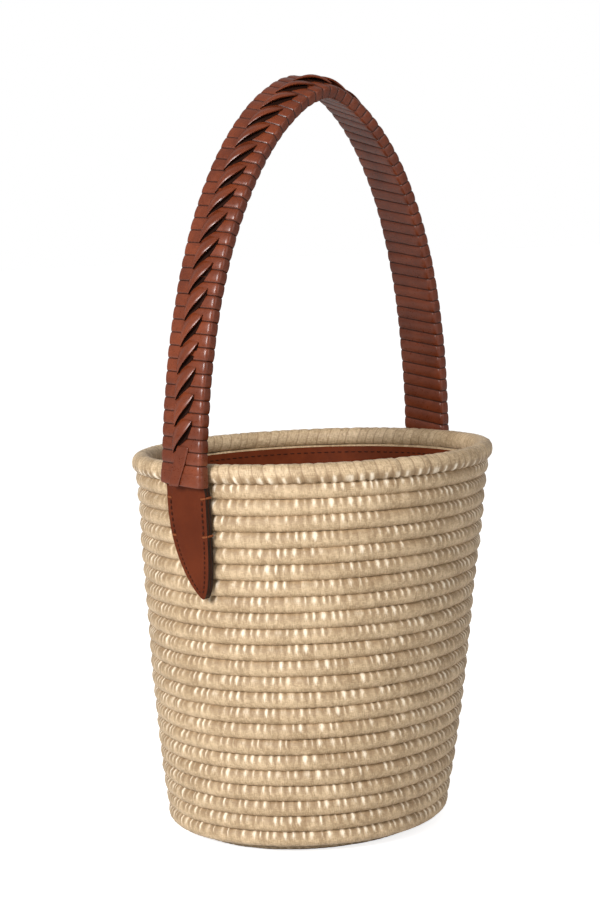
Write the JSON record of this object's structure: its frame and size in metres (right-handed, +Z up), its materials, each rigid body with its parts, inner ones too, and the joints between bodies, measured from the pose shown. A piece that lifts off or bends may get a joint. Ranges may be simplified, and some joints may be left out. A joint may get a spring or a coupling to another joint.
{
  "type": "bucket bag",
  "caption": "Coiled sisal bucket bag with a leather lining and a tall arch handle of laced leather, sewn on with leather tabs.",
  "frame": {"origin": "on the standing surface, under the middle of the rim, which is the middle of the whole bag's box", "axes": "+Z up; the handle's arch stands along the XZ plane, with its near end at -X and its far end at +X"},
  "size_m": [0.2547, 0.2448, 0.4991],
  "materials": {
    "sisal": "silky wrapped plant fibre",
    "lace_leather": "smooth, soft gloss",
    "strap_leather": "smooth, satin, with dark painted edges",
    "lining_leather": "matte",
    "thread": "waxed thread"
  },
  "bodies": {
    "basket": {"base_coil": "sisal", "wall_coil": "sisal", "rim_coil": "sisal", "lining_wall": "lining_leather", "lining_base": "lining_leather", "lining_top_stitching": "thread", "lining_base_stitching": "thread", "near_tab_backing": "strap_leather", "near_tab_face": "strap_leather", "near_tab_edge_stitching": "thread", "near_tab_left_lashing": "thread", "near_tab_right_lashing": "thread", "far_tab_backing": "strap_leather", "far_tab_face": "strap_leather", "far_tab_edge_stitching": "thread", "far_tab_left_lashing": "thread", "far_tab_right_lashing": "thread"},
    "handle": {"strap_outer_layer": "strap_leather", "strap_inner_layer": "strap_leather", "handle_lacing": "lace_leather", "handle_braid": "lace_leather", "near_end_turn": "lace_leather", "near_lace_end": "lace_leather", "far_end_turn": "lace_leather", "far_lace_end": "lace_leather"}
  },
  "joints": [
    {"name": "handle_lean", "type": "hinge", "parent": "basket", "child": "handle", "pos_m": [0, 0, 0.238], "axis": [1, 0, 0], "range_deg": [-15, 15], "stiffness_Nm_per_rad": 1.6}
  ]
}
